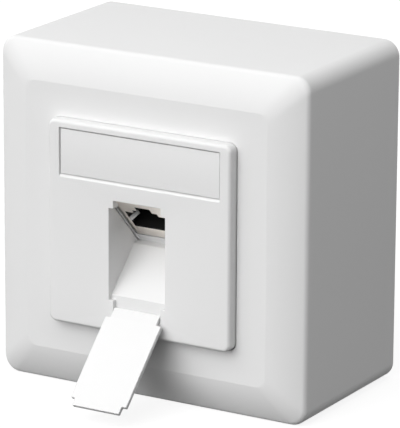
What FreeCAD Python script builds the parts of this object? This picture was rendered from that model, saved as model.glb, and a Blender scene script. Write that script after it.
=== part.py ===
"""Surface-mounted data outlet.

A square hood stands against the wall on a base plate. A steel carrier on four posts holds the
centre plate and a shielded jack that points outwards and down. A hinged flap keeps dust out.

Millimetres. X runs to the right, Z up and Y into the wall. The origin is the centre of the back.
"""

import FreeCAD
import Part
import math
import os

from FreeCAD import Vector

# Hood
HOUSING_SIDE = 80.0
HOUSING_STRAIGHT = 40.8
HOUSING_WALL = 2.0
HOUSING_EDGE_R = 3.8
SHOULDER_R = 1.7
SHOULDER_END_SLOPE = 30.0
BEVEL_END_SLOPE = 10.0
CREASE_SIDE = 62.8
CREASE_CORNER_R = 2.5
COLLAR_WIDTH = 4.6
COLLAR_RISE = 0.4
COLLAR_POWER = 3
SKIRT_WALL = 1.4
SKIRT_CLEARANCE = 0.3
KNOCKOUT_WIDTH = 16.0
KNOCKOUT_DEPTH = 12.0
KNOCKOUT_WEB = 0.8

# Base plate
BASE_THICK = 2.5
BASE_GAP = 0.3
BASE_RIM_WALL = 1.6
BASE_RIM_HEIGHT = 10.0
WALL_SCREW_SPACING = 60.0
WALL_SLOT_WIDTH = 4.2
WALL_SLOT_LENGTH = 8.0
WALL_HEAD_WIDTH = 8.0
WALL_HEAD_SINK = 1.0
ENTRY_WIDTH = 28.0
ENTRY_HEIGHT = 16.0
ENTRY_Z = -9.0
ENTRY_LIP = 2.0
POST_INSET = 5.0
POST_R = 3.6
PILOT_R = 1.25
PILOT_DEPTH = 12.0
RIB_THICK = 1.4
RIB_HEIGHT = 12.0
LUG_WIDTH = 8.0
LUG_REACH = 1.2
LUG_HEIGHT = 1.6
LUG_Y = -6.0
LUG_CLEARANCE = 0.3

# Carrier
CARRIER_MARGIN = 4.5
CARRIER_THICK = 1.2
CARRIER_SET_BACK = 8.7
CARRIER_CORNER_R = 4.0
CARRIER_FLANGE = 3.2
WINDOW_WIDTH = 28.0
WINDOW_TOP = 18.5
WINDOW_BOTTOM = -19.5
WINDOW_CORNER_R = 3.0
SCREW_HEAD_R = 2.7
SCREW_HEAD_HEIGHT = 1.8
SCREW_R = 1.2
SCREW_CLEARANCE = 0.3
SCREW_REACH = 8.0
RECESS_ARM = 1.0

# Centre plate
PLATE_SIDE = 47.6
PLATE_GAP = 0.12
PLATE_PROUD = 2.8
PLATE_THICK = 2.2
PLATE_EDGE_R = 0.95
PLATE_CORNER_R = 1.8
PLATE_RIM_WALL = 1.5
PLATE_RIM_DEPTH = 5.2
PLATE_SCREW_X = 17.5
BOSS_R = 3.2
HOOK_X = 12.0
HOOK_WIDTH = 4.0
HOOK_THICK = 1.2
HOOK_BARB = 0.6
HOOK_CLEARANCE = 0.3

# Label field
LABEL_WIDTH = 41.6
LABEL_HEIGHT = 10.6
LABEL_Z = 16.8
LABEL_CORNER_R = 0.5
LABEL_POCKET = 1.3
LABEL_GAP = 0.14
LABEL_CHAMFER = 0.6
COVER_SINK = 0.05
COVER_THICK = 0.9
STRIP_THICK = 0.3
STRIP_MARGIN = 1.0

# Port in the plate
PORT_X = -0.33
PORT_WIDTH = 14.7
PORT_TOP = 7.05
PORT_SHOULDER = 5.2
PORT_NOTCH_WIDTH = 12.4
PORT_BOTTOM = -16.3
RAMP_DEPTH = 11.06
CHUTE_WALL = 1.3
FRAME_GAP = 0.1

# Dust flap
FLAP_THICK = 1.0
FLAP_SIDE_GAP = 0.08
FLAP_LOWER_GAP = 0.15
FLAP_UPPER_GAP = 0.4
FLAP_BACK_GAP = 0.15
FLAP_CORNER_R = 0.25
TONGUE_GAP = 0.2
HINGE_Z = -18.44
HINGE_SINK = 0.5
PIN_R = 0.3
PIN_LENGTH = 0.9
PIN_CLEARANCE = 0.06
BARREL_CLEARANCE = 0.12
FLAP_OPEN_ANGLE = 135.0

# Jack, in its own frame: x across, y into the jack and z up its face
MODULE_TILT = 45.0
MODULE_SINK = 0.93
JACK_WIDTH = 14.4
JACK_TOP = -0.5
JACK_BOTTOM = -15.25
JACK_DEPTH = 21.0
JACK_FACE_THICK = 0.3
JACK_WALL = 0.9
CAVITY_WIDTH = 11.8
CAVITY_TOP = -4.8
CAVITY_BOTTOM = -11.05
CAVITY_DEPTH = 13.0
STEP_WIDTH = 6.1
STEP_TOP = -3.6
SLOT_WIDTH = 3.9
SLOT_TOP = -2.0
INNER_GAP = 0.12
INSERT_LENGTH = 14.2
SPRING_THICK = 0.25
SPRING_WIDTH = 1.5
SPRING_Z = -7.5
SPRING_DEPTH = 2.9
SPRING_LEAN = 30.0
CONTACT_COUNT = 8
CONTACT_PITCH = 1.02
CONTACT_THICK = 0.4
CONTACT_SLOT = 0.6
CONTACT_TRACK = -12.6
CONTACT_NOSE = 5.6
CONTACT_TURN_R = 0.55
CONTACT_RISE = 20.0
CONTACT_LENGTH = 7.0
BOARD_THICK = 1.0
TERMINAL_LENGTH = 8.0
TERMINAL_HEIGHT = 5.6
TERMINAL_PITCH = 3.0
TERMINALS_PER_BLOCK = 4
TERMINAL_SLOT = 1.0
TERMINAL_FLOOR = 1.2
IDC_THICK = 0.5
IDC_HEIGHT = 2.4
IDC_FORK = 0.5
IDC_REACH = 5.6
CAP_DEPTH = 9.0
CAP_GAP = 0.1
CABLE_R = 3.4
CLAMP_WALL = 1.6
CLAMP_LENGTH = 6.0
CLAMP_SPLIT = 0.5
CLAMP_EAR = 4.2
CLAMP_EAR_THICK = 1.8
CLAMP_SCREW_R = 0.9
CLAMP_HEAD_R = 1.7
CLAMP_HEAD_HEIGHT = 1.1

# Holder of the jack
HOLDER_WALL = 1.4
HOLDER_TOP = -2.8
HOLDER_LIP = 0.7
HOLDER_DEPTH = 14.0
HOLDER_SIDE_GAP = 0.5
HOLDER_SEAT_GAP = 0.3
HOLDER_BAR = 2.0
HOLDER_BAR_DEPTH = 2.4
EAR_REACH = 22.5
EAR_THICK = 3.0
EAR_HEIGHT = 9.0
EAR_Z = 3.5
EAR_SCREW_X = 18.3

# How curves are built: sections of each loft, and how round a slot's end is
LOFT_STEPS = 4
SLOT_END_SHARE = 0.999

# Sizes that follow from the ones above
HOUSING_HALF = HOUSING_SIDE / 2
CAVITY_HALF = HOUSING_HALF - HOUSING_WALL
CREASE_HALF = CREASE_SIDE / 2
CARRIER_HALF = CAVITY_HALF - CARRIER_MARGIN
POST_REACH = CARRIER_HALF - POST_INSET
PLATE_HALF = PLATE_SIDE / 2
OPENING_HALF = PLATE_HALF + PLATE_GAP
BASE_HALF = CAVITY_HALF - BASE_GAP
SHOULDER_TURN = math.radians(90 - SHOULDER_END_SLOPE)
SHOULDER_INSET = SHOULDER_R * (1 - math.cos(SHOULDER_TURN))
SHOULDER_DROP = SHOULDER_R * math.sin(SHOULDER_TURN)
BEVEL_INSET = HOUSING_HALF - CREASE_HALF - SHOULDER_INSET
BEVEL_TURN = math.radians(SHOULDER_END_SLOPE - BEVEL_END_SLOPE)
BEVEL_MEAN_SLOPE = math.radians((SHOULDER_END_SLOPE + BEVEL_END_SLOPE) / 2)
BEVEL_CHORD = BEVEL_INSET / math.cos(BEVEL_MEAN_SLOPE)
BEVEL_R = BEVEL_CHORD / (2 * math.sin(BEVEL_TURN / 2))
BEVEL_DROP = BEVEL_CHORD * math.sin(BEVEL_MEAN_SLOPE)
FLAT_Y = -(HOUSING_STRAIGHT + SHOULDER_DROP + BEVEL_DROP)
PLATE_Y = FLAT_Y - PLATE_PROUD
PLATE_BACK = PLATE_Y + PLATE_THICK
CARRIER_FRONT = PLATE_Y + CARRIER_SET_BACK
CARRIER_BACK = CARRIER_FRONT + CARRIER_THICK
RAMP_TOP_Y = PLATE_Y + RAMP_DEPTH
MODULE_ORIGIN_Y = PLATE_Y + MODULE_SINK
HINGE_Y = PLATE_Y + HINGE_SINK
SILL_Y = PLATE_Y + FLAP_THICK + FLAP_BACK_GAP
JACK_HALF = JACK_WIDTH / 2
JACK_INNER_HALF = JACK_HALF - JACK_WALL
JACK_INNER_TOP = JACK_TOP - JACK_WALL
JACK_INNER_BOTTOM = JACK_BOTTOM + JACK_WALL
INSERT_HALF = JACK_INNER_HALF - INNER_GAP
INSERT_TOP = JACK_INNER_TOP - INNER_GAP
INSERT_BOTTOM = JACK_INNER_BOTTOM + INNER_GAP
INSERT_FRONT = JACK_FACE_THICK
INSERT_BACK = INSERT_FRONT + INSERT_LENGTH
BOARD_BACK = INSERT_BACK + BOARD_THICK
TERMINAL_BACK = BOARD_BACK + TERMINAL_LENGTH
CAP_FRONT = JACK_DEPTH + CAP_GAP
CAP_BACK = CAP_FRONT + CAP_DEPTH
CABLE_Z = (JACK_TOP + JACK_BOTTOM) / 2
PORT_HALF = PORT_WIDTH / 2
NOTCH_HALF = PORT_NOTCH_WIDTH / 2
HOLDER_INNER = JACK_HALF + HOLDER_SIDE_GAP
HOLDER_HALF = HOLDER_INNER + HOLDER_WALL
HOLDER_BAR_TOP = JACK_BOTTOM - HOLDER_SEAT_GAP
HOLDER_BOTTOM = HOLDER_BAR_TOP - HOLDER_BAR


def box(x_range, y_range, z_range):
    """Box between the two ends given for each axis."""
    corner = Vector(min(x_range), min(y_range), min(z_range))
    size = [max(ends) - min(ends) for ends in (x_range, y_range, z_range)]
    return Part.makeBox(*size, corner)


def rounded_square(half_x, half_z, radius, y, z_centre=0.0):
    """Closed wire of a rectangle with rounded corners, in the plane at y."""
    arcs = []
    corners = [(1, 1, 0), (-1, 1, 90), (-1, -1, 180), (1, -1, 270)]
    for sign_x, sign_z, start in corners:
        centre = Vector(sign_x * (half_x - radius), y, z_centre + sign_z * (half_z - radius))
        points = []
        for turn in (0, 45, 90):
            angle = math.radians(start + turn)
            points.append(centre + Vector(radius * math.cos(angle), 0, radius * math.sin(angle)))
        arcs.append(Part.Arc(*points).toShape())
    edges = []
    for arc, following in zip(arcs, arcs[1:] + arcs[:1]):
        edges.append(arc)
        edges.append(Part.LineSegment(arc.valueAt(arc.LastParameter),
                                      following.valueAt(following.FirstParameter)).toShape())
    return Part.Wire(edges)


def slab(half_x, half_z, radius, y_front, y_back, z_centre=0.0):
    """Solid rectangle with rounded corners between two planes across Y."""
    face = Part.Face(rounded_square(half_x, half_z, radius, y_front, z_centre))
    return face.extrude(Vector(0, y_back - y_front, 0))


def side_profile(points, x_range):
    """Prism along X over a closed outline of (y, z) points."""
    corners = [Vector(min(x_range), y, z) for y, z in points]
    face = Part.Face(Part.makePolygon(corners + corners[:1]))
    return face.extrude(Vector(max(x_range) - min(x_range), 0, 0))


def rod(radius, start, end):
    """Cylinder between two points."""
    along = end - start
    return Part.makeCylinder(radius, along.Length, start, along)


def fused(solids):
    """One solid from overlapping or touching ones, with seams in flat faces removed."""
    return solids[0].multiFuse(solids[1:]).removeSplitter()


def module_placement():
    """Placement that tilts the jack's own frame into the port."""
    origin = Vector(PORT_X, MODULE_ORIGIN_Y, PORT_TOP)
    return FreeCAD.Placement(origin, FreeCAD.Rotation(Vector(1, 0, 0), MODULE_TILT))


def in_port(shape):
    """Copy of a shape, moved from the jack's own frame into the outlet."""
    return shape.transformed(module_placement().toMatrix())


def port_point(depth, height):
    """The outlet's (y, z) of a point at a depth and height in the jack's own frame."""
    point = module_placement().multVec(Vector(0, depth, height))
    return point.y, point.z


def corner_radius(half):
    """Corner radius of the hood's front, which tightens from the side walls to the crease."""
    share = (HOUSING_HALF - half) / (HOUSING_HALF - CREASE_HALF)
    return HOUSING_EDGE_R + (CREASE_CORNER_R - HOUSING_EDGE_R) * share


def shoulder_sections():
    """(half side, y, corner radius) along the tight arc next to the side walls."""
    sections = []
    for step in range(LOFT_STEPS + 1):
        turn = SHOULDER_TURN * step / LOFT_STEPS
        half = HOUSING_HALF - SHOULDER_R * (1 - math.cos(turn))
        sections.append((half, -(HOUSING_STRAIGHT + SHOULDER_R * math.sin(turn)), corner_radius(half)))
    return sections


def bevel_sections():
    """(half side, y, corner radius) along the shallow convex bevel that ends at the crease."""
    start_half, start_y, _ = shoulder_sections()[-1]
    start_slope = math.radians(SHOULDER_END_SLOPE)
    sections = []
    for step in range(LOFT_STEPS + 1):
        slope = start_slope - BEVEL_TURN * step / LOFT_STEPS
        half = start_half - BEVEL_R * (math.sin(start_slope) - math.sin(slope))
        drop = BEVEL_R * (math.cos(slope) - math.cos(start_slope))
        sections.append((half, start_y - drop, corner_radius(half)))
    return sections


def collar_sections():
    """(half side, y, corner radius) of the concave rise from the flat ring to the opening."""
    sections = []
    for step in range(LOFT_STEPS + 1):
        share = step / LOFT_STEPS
        half = OPENING_HALF + COLLAR_WIDTH * (1 - share)
        radius = CREASE_CORNER_R + (PLATE_CORNER_R - CREASE_CORNER_R) * share
        sections.append((half, FLAT_Y - COLLAR_RISE * share ** COLLAR_POWER, radius))
    return sections


def square_loft(sections):
    """Smooth solid through rounded squares."""
    return Part.makeLoft([rounded_square(half, half, radius, y) for half, y, radius in sections],
                         True, False)


def hood_lug(side):
    """Catch on the inside of a side wall that snaps into the base plate's rim."""
    root = CAVITY_HALF + HOUSING_WALL / 2
    tip = CAVITY_HALF - LUG_REACH
    profile = [(LUG_Y, root), (LUG_Y - LUG_HEIGHT, root), (LUG_Y - LUG_HEIGHT, tip), (LUG_Y, tip)]
    corners = [Vector(side * x, y, -LUG_WIDTH / 2) for y, x in profile]
    face = Part.Face(Part.makePolygon(corners + corners[:1]))
    return face.extrude(Vector(0, 0, LUG_WIDTH))


def surface_housing():
    """One-piece hood: straight sides, soft bevel, flat ring and a collar round the opening."""
    walls = slab(HOUSING_HALF, HOUSING_HALF, HOUSING_EDGE_R, -HOUSING_STRAIGHT, 0)
    outside = fused([walls, square_loft(shoulder_sections()), square_loft(bevel_sections()),
                     square_loft(collar_sections())])
    inner_r = HOUSING_EDGE_R - HOUSING_WALL
    hollow = slab(CAVITY_HALF, CAVITY_HALF, inner_r, -HOUSING_STRAIGHT + HOUSING_WALL / 2, 0)
    nose = Part.makeLoft([
        rounded_square(CAVITY_HALF, CAVITY_HALF, inner_r, -HOUSING_STRAIGHT + HOUSING_WALL / 2),
        rounded_square(CREASE_HALF, CREASE_HALF, inner_r, FLAT_Y + HOUSING_WALL)], True, True)
    hood = outside.cut(hollow.fuse(nose))
    skirt_half = OPENING_HALF + SKIRT_WALL
    skirt_end = CARRIER_FRONT - SCREW_HEAD_HEIGHT - SKIRT_CLEARANCE
    skirt = slab(skirt_half, skirt_half, PLATE_CORNER_R + SKIRT_WALL,
                 FLAT_Y + HOUSING_WALL / 2, skirt_end)
    hood = fused([hood, skirt, hood_lug(1), hood_lug(-1)])
    opening = slab(OPENING_HALF, OPENING_HALF, PLATE_CORNER_R + PLATE_GAP, FLAT_Y - PLATE_PROUD, 0)
    knockout = box((-KNOCKOUT_WIDTH / 2, KNOCKOUT_WIDTH / 2), (-KNOCKOUT_DEPTH, 0),
                   (-HOUSING_HALF + KNOCKOUT_WEB, -CAVITY_HALF))
    return hood.cut(opening).cut(knockout)


def slot(x, z, half_width, half_length, along_x, y_range):
    """Round-ended slot through Y."""
    half_x = half_length if along_x else half_width
    half_z = half_width if along_x else half_length
    blank = slab(half_x, half_z, half_width * SLOT_END_SHARE, min(y_range), max(y_range))
    return blank.translated(Vector(x, 0, z))


def wall_slots():
    """Cuts for the four wall screws, two across and two upright, with sunk heads."""
    reach = WALL_SCREW_SPACING / 2
    cuts = []
    for x, z, along_x in [(reach, 0, True), (-reach, 0, True), (0, reach, False), (0, -reach, False)]:
        cuts.append(slot(x, z, WALL_SLOT_WIDTH / 2, WALL_SLOT_LENGTH / 2, along_x,
                         (-BASE_THICK, 0)))
        spread = (WALL_HEAD_WIDTH - WALL_SLOT_WIDTH) / 2
        cuts.append(slot(x, z, WALL_HEAD_WIDTH / 2, WALL_SLOT_LENGTH / 2 + spread, along_x,
                         (-BASE_THICK, -BASE_THICK + WALL_HEAD_SINK)))
    return cuts


def post_centres():
    """The four (x, z) places of the carrier's posts and screws."""
    return [(sign_x * POST_REACH, sign_z * POST_REACH) for sign_x in (1, -1) for sign_z in (1, -1)]


def base_post(x, z):
    """Round post with two ribs towards the rim."""
    post = rod(POST_R, Vector(x, -BASE_THICK / 2, z), Vector(x, CARRIER_BACK, z))
    side_x = math.copysign(1, x)
    side_z = math.copysign(1, z)
    rim = BASE_HALF - BASE_RIM_WALL / 2
    heights = (-BASE_THICK / 2, -BASE_THICK - RIB_HEIGHT)
    across = box((x, side_x * rim), heights, (z - RIB_THICK / 2, z + RIB_THICK / 2))
    upright = box((x - RIB_THICK / 2, x + RIB_THICK / 2), heights, (z, side_z * rim))
    return fused([post, across, upright])


def base_plate():
    """Plate against the wall with a rim, screw slots, a cable entry and the carrier's posts."""
    radius = HOUSING_EDGE_R - HOUSING_WALL
    plate = slab(BASE_HALF, BASE_HALF, radius, -BASE_THICK, 0)
    rim_front = -BASE_THICK - BASE_RIM_HEIGHT
    inner = BASE_HALF - BASE_RIM_WALL
    rim = slab(BASE_HALF, BASE_HALF, radius, rim_front, 0)
    rim = rim.cut(slab(inner, inner, radius / 2, rim_front, 0))
    lip = slab(ENTRY_WIDTH / 2 + ENTRY_LIP, ENTRY_HEIGHT / 2 + ENTRY_LIP, ENTRY_LIP * 2,
               -BASE_THICK - ENTRY_LIP, 0, ENTRY_Z)
    posts = [base_post(x, z) for x, z in post_centres()]
    base = fused([plate, rim, lip] + posts)
    entry = slab(ENTRY_WIDTH / 2, ENTRY_HEIGHT / 2, ENTRY_LIP, -BASE_THICK - ENTRY_LIP, 0, ENTRY_Z)
    cuts = wall_slots() + [entry]
    for x, z in post_centres():
        cuts.append(rod(PILOT_R, Vector(x, CARRIER_BACK, z), Vector(x, CARRIER_BACK + PILOT_DEPTH, z)))
    half_lug = LUG_WIDTH / 2 + LUG_CLEARANCE
    for side in (1, -1):
        cuts.append(box((side * (inner - LUG_REACH), side * BASE_HALF),
                        (LUG_Y - LUG_HEIGHT - LUG_CLEARANCE, LUG_Y + LUG_CLEARANCE),
                        (-half_lug, half_lug)))
    half_knockout = KNOCKOUT_WIDTH / 2 + LUG_CLEARANCE
    cuts.append(box((-half_knockout, half_knockout), (rim_front, -BASE_THICK), (-BASE_HALF, -inner)))
    return base.cut(fused(cuts))


def carrier_frame():
    """Pressed steel frame with a bent edge, a window for the jack and its screw holes."""
    half = CARRIER_HALF
    sheet = slab(half, half, CARRIER_CORNER_R, CARRIER_FRONT, CARRIER_BACK + CARRIER_FLANGE)
    inner = half - CARRIER_THICK
    sheet = sheet.cut(slab(inner, inner, CARRIER_CORNER_R - CARRIER_THICK, CARRIER_BACK,
                           CARRIER_BACK + CARRIER_FLANGE))
    window_z = (WINDOW_TOP + WINDOW_BOTTOM) / 2
    window = slab(WINDOW_WIDTH / 2, (WINDOW_TOP - WINDOW_BOTTOM) / 2, WINDOW_CORNER_R,
                  CARRIER_FRONT, CARRIER_BACK, window_z)
    cuts = [window]
    holes = post_centres() + [(side * PLATE_SCREW_X, LABEL_Z) for side in (1, -1)]
    holes += [(side * EAR_SCREW_X, EAR_Z) for side in (1, -1)]
    for x, z in holes:
        cuts.append(rod(SCREW_R + SCREW_CLEARANCE, Vector(x, CARRIER_FRONT, z),
                        Vector(x, CARRIER_BACK, z)))
    hook_z = hook_range()
    for x_range in hook_columns():
        cuts.append(box((min(x_range) - HOOK_CLEARANCE, max(x_range) + HOOK_CLEARANCE),
                        (CARRIER_FRONT, CARRIER_BACK),
                        (min(hook_z) - HOOK_BARB - HOOK_CLEARANCE, max(hook_z) + HOOK_CLEARANCE)))
    for x, z in post_centres():
        cuts.append(rod(POST_R + BASE_GAP, Vector(x, CARRIER_BACK, z),
                        Vector(x, CARRIER_BACK + CARRIER_FLANGE, z)))
    return sheet.cut(fused(cuts))


def pan_screw(x, z, under_head, reach):
    """Pan-head screw along Y with a cross recess, its head in front of a seat."""
    chamfer = SCREW_HEAD_HEIGHT / 3
    front = under_head - SCREW_HEAD_HEIGHT
    head = rod(SCREW_HEAD_R, Vector(x, front + chamfer, z), Vector(x, under_head, z))
    crown = Part.makeCone(SCREW_HEAD_R - chamfer, SCREW_HEAD_R, chamfer, Vector(x, front, z), Vector(0, 1, 0))
    shank = rod(SCREW_R, Vector(x, under_head, z), Vector(x, under_head + reach, z))
    return fused([head, crown, shank]).cut(cross_recess(x, z, front))


def cross_recess(x, z, front):
    """Cross-shaped cut for a driver, starting at a screw's front."""
    half = RECESS_ARM / 4
    depths = (front, front + SCREW_HEAD_HEIGHT / 2)
    across = box((x - RECESS_ARM, x + RECESS_ARM), depths, (z - half, z + half))
    upright = box((x - half, x + half), depths, (z - RECESS_ARM, z + RECESS_ARM))
    return across.fuse(upright)


def carrier_screws():
    """Four screws that hold the carrier on the posts."""
    return Part.makeCompound([pan_screw(x, z, CARRIER_FRONT, CARRIER_THICK + SCREW_REACH)
                              for x, z in post_centres()])


def holder_screws():
    """Two screws through the carrier into the holder's ears."""
    return Part.makeCompound([pan_screw(side * EAR_SCREW_X, EAR_Z, CARRIER_FRONT,
                                        CARRIER_THICK + EAR_THICK) for side in (1, -1)])


def countersunk(x, z, front, extra):
    """Cone and shank of a plate screw, grown by a clearance."""
    drop = SCREW_HEAD_R - SCREW_R
    cone = Part.makeCone(SCREW_HEAD_R + extra, SCREW_R + extra, drop, Vector(x, front, z), Vector(0, 1, 0))
    end = CARRIER_BACK + CARRIER_THICK
    return cone.fuse(rod(SCREW_R + extra, Vector(x, front, z), Vector(x, end, z)))


def plate_screws():
    """Two countersunk screws behind the label that hold the plate on the carrier."""
    front = PLATE_Y + LABEL_POCKET + COVER_SINK
    screws = []
    for side in (1, -1):
        screw = countersunk(side * PLATE_SCREW_X, LABEL_Z, front, 0)
        screws.append(screw.cut(cross_recess(side * PLATE_SCREW_X, LABEL_Z, front)))
    return Part.makeCompound(screws)


def hook_columns():
    """X range of each of the plate's two hooks."""
    return [(side * HOOK_X - HOOK_WIDTH / 2, side * HOOK_X + HOOK_WIDTH / 2) for side in (1, -1)]


def hook_range():
    """Z range of the hooks, just inside the plate's rim."""
    outer = -(PLATE_HALF - PLATE_RIM_WALL)
    return outer, outer + HOOK_THICK


def plate_hook(x_range):
    """Springy hook that catches behind the carrier's lower edge."""
    outer, inner = hook_range()
    back = CARRIER_BACK + HOOK_CLEARANCE
    outline = [(PLATE_BACK - PLATE_THICK / 2, outer), (back, outer), (back, outer - HOOK_BARB),
               (back + HOOK_BARB, outer - HOOK_BARB), (back + HOOK_BARB * 3, outer),
               (back + HOOK_BARB * 3, inner), (PLATE_BACK - PLATE_THICK / 2, inner)]
    return side_profile(outline, x_range)


def chute_walls():
    """(y, z) corners of the chute's floor: sill, ramp top and the end of the ledge."""
    ledge_end_y, bar_corner_z = port_point(0, HOLDER_BOTTOM)
    ledge_z = bar_corner_z - FRAME_GAP
    sill_z = ledge_z - (RAMP_TOP_Y - SILL_Y)
    return (SILL_Y, sill_z), (RAMP_TOP_Y, ledge_z), (ledge_end_y, ledge_z)


def chute_cut(front):
    """Space for the plug between the plate's face and the jack's face."""
    sill, ramp_top, ledge_end = chute_walls()
    top_y = MODULE_ORIGIN_Y
    outline = [(front, PORT_TOP), (top_y, PORT_TOP), ledge_end, ramp_top, sill,
               (SILL_Y, PORT_BOTTOM), (front, PORT_BOTTOM)]
    space = side_profile(outline, (PORT_X - PORT_HALF, PORT_X + PORT_HALF))
    shoulders = []
    for side in (1, -1):
        shoulders.append(box((PORT_X + side * NOTCH_HALF, PORT_X + side * PORT_HALF), (front, SILL_Y),
                             (PORT_SHOULDER, PORT_TOP)))
    return space.cut(shoulders[0]).cut(shoulders[1])


def chute_body():
    """Walls of the chute behind the plate, before its inside is cut."""
    sill, ramp_top, ledge_end = chute_walls()
    wall = CHUTE_WALL
    start = PLATE_BACK - PLATE_THICK / 2
    frame_y, frame_z = port_point(-HOLDER_LIP - FRAME_GAP, 0)
    plane = frame_y + frame_z
    lowest = sill[1] - wall * 2
    top = plane - start
    outline = [(start, top), (plane - ramp_top[1] + wall, ramp_top[1] - wall),
               (ramp_top[0] + wall / 2, ramp_top[1] - wall), (start + wall, lowest), (start, lowest)]
    across = (PORT_X - PORT_HALF - wall, PORT_X + PORT_HALF + wall)
    outer = side_profile(outline, across)
    sheet = box(across, (ramp_top[0], ledge_end[0]),
                (ramp_top[1] - wall, ramp_top[1]))
    return fused([outer, sheet])


def hinge_rod(radius, half):
    """Rod along the flap's axis, to both sides of the port's middle."""
    return rod(radius, Vector(PORT_X - half, HINGE_Y, HINGE_Z), Vector(PORT_X + half, HINGE_Y, HINGE_Z))


def flap_pocket():
    """Cut for the flap's tongue, barrel and open stop."""
    stop = math.radians(FLAP_OPEN_ANGLE)
    radius = HINGE_SINK + BARREL_CLEARANCE
    down = Vector(0, -math.cos(stop) * radius, -math.sin(stop) * radius)
    out = Vector(0, -math.sin(stop), math.cos(stop))
    corner = Vector(0, HINGE_Y, HINGE_Z) + down
    reach = (PLATE_THICK + corner.y - PLATE_Y) / -out.y
    far = corner + out * reach
    outline = [(far.y, PORT_BOTTOM), (SILL_Y, PORT_BOTTOM), (SILL_Y, HINGE_Z),
               (corner.y, corner.z), (far.y, far.z)]
    wedge = side_profile(outline, (PORT_X - NOTCH_HALF, PORT_X + NOTCH_HALF))
    return fused([wedge, hinge_rod(radius, NOTCH_HALF)])


def label_pocket():
    """Recess for the label with a chamfer along its lower edge."""
    half_x = LABEL_WIDTH / 2
    half_z = LABEL_HEIGHT / 2
    pocket = slab(half_x, half_z, LABEL_CORNER_R, PLATE_Y, PLATE_Y + LABEL_POCKET, LABEL_Z)
    bottom = LABEL_Z - half_z
    outline = [(PLATE_Y, bottom - LABEL_CHAMFER), (PLATE_Y, bottom + LABEL_CORNER_R),
               (PLATE_Y + LABEL_CHAMFER, bottom + LABEL_CORNER_R), (PLATE_Y + LABEL_CHAMFER, bottom)]
    return pocket.fuse(side_profile(outline, (-half_x, half_x)))


def centre_plate():
    """Plate with the label recess, the sloping chute, the hinge's seat and its fixings."""
    block = slab(PLATE_HALF, PLATE_HALF, PLATE_CORNER_R, PLATE_Y, PLATE_Y + PLATE_RIM_DEPTH)
    front_edges = [edge for edge in block.Edges
                   if max(abs(vertex.Point.y - PLATE_Y) for vertex in edge.Vertexes) < 1e-6]
    block = block.makeFillet(PLATE_EDGE_R, front_edges)
    inner = PLATE_HALF - PLATE_RIM_WALL
    block = block.cut(slab(inner, inner, PLATE_CORNER_R / 2, PLATE_BACK, PLATE_Y + PLATE_RIM_DEPTH))
    bosses = []
    for side in (1, -1):
        x = side * PLATE_SCREW_X
        bosses.append(rod(BOSS_R, Vector(x, PLATE_BACK - PLATE_THICK / 4, LABEL_Z),
                          Vector(x, CARRIER_FRONT, LABEL_Z)))
    hooks = [plate_hook(x_range) for x_range in hook_columns()]
    plate = fused([block, chute_body()] + bosses + hooks)
    plate = plate.cut(chute_cut(PLATE_Y - PLATE_THICK)).cut(flap_pocket()).cut(label_pocket())
    plate = plate.cut(hinge_rod(PIN_R + PIN_CLEARANCE, NOTCH_HALF + PIN_LENGTH + PIN_CLEARANCE))
    for side in (1, -1):
        front = PLATE_Y + LABEL_POCKET + COVER_SINK
        plate = plate.cut(countersunk(side * PLATE_SCREW_X, LABEL_Z, front, SCREW_CLEARANCE / 2))
    envelope = box((-JACK_HALF - FRAME_GAP, JACK_HALF + FRAME_GAP), (0, CAP_BACK),
                   (JACK_TOP + FRAME_GAP, HOLDER_BOTTOM))
    return plate.cut(in_port(envelope))


def label_strip():
    """Paper strip on the floor of the label recess."""
    floor = PLATE_Y + LABEL_POCKET
    return slab(LABEL_WIDTH / 2 - STRIP_MARGIN, LABEL_HEIGHT / 2 - STRIP_MARGIN, LABEL_CORNER_R,
                floor - STRIP_THICK, floor, LABEL_Z)


def label_cover():
    """Cover that snaps into the recess, over the strip."""
    front = PLATE_Y + COVER_SINK
    cover = slab(LABEL_WIDTH / 2 - LABEL_GAP, LABEL_HEIGHT / 2 - LABEL_GAP, LABEL_CORNER_R,
                 front, PLATE_Y + LABEL_POCKET, LABEL_Z)
    floor = slab(LABEL_WIDTH / 2 - STRIP_MARGIN + LABEL_GAP, LABEL_HEIGHT / 2 - STRIP_MARGIN + LABEL_GAP,
                 LABEL_CORNER_R, front + COVER_THICK, PLATE_Y + LABEL_POCKET, LABEL_Z)
    return cover.cut(floor)


def dust_flap():
    """Flap with its tongue, barrel and two pins, hanging against its open stop."""
    front = PLATE_Y
    back = PLATE_Y + FLAP_THICK
    low = PORT_BOTTOM + FLAP_LOWER_GAP
    shoulder = PORT_SHOULDER - FLAP_UPPER_GAP
    tip_range = (shoulder - FLAP_CORNER_R, PORT_TOP - FLAP_UPPER_GAP)
    tongue_half = NOTCH_HALF - TONGUE_GAP
    body = slab(PORT_HALF - FLAP_SIDE_GAP, (shoulder - low) / 2, FLAP_CORNER_R, front, back,
                (shoulder + low) / 2)
    tip = slab(NOTCH_HALF - FLAP_SIDE_GAP, (max(tip_range) - min(tip_range)) / 2, FLAP_CORNER_R, front, back,
               sum(tip_range) / 2)
    tongue = box((-tongue_half, tongue_half), (front, back), (HINGE_Z, low + FLAP_CORNER_R))
    leaf = fused([body, tip, tongue])
    leaf.translate(Vector(PORT_X, 0, 0))
    flap = fused([leaf, hinge_rod(HINGE_SINK, tongue_half), hinge_rod(PIN_R, NOTCH_HALF + PIN_LENGTH)])
    flap.rotate(Vector(0, HINGE_Y, HINGE_Z), Vector(1, 0, 0), FLAP_OPEN_ANGLE)
    return flap


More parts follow.
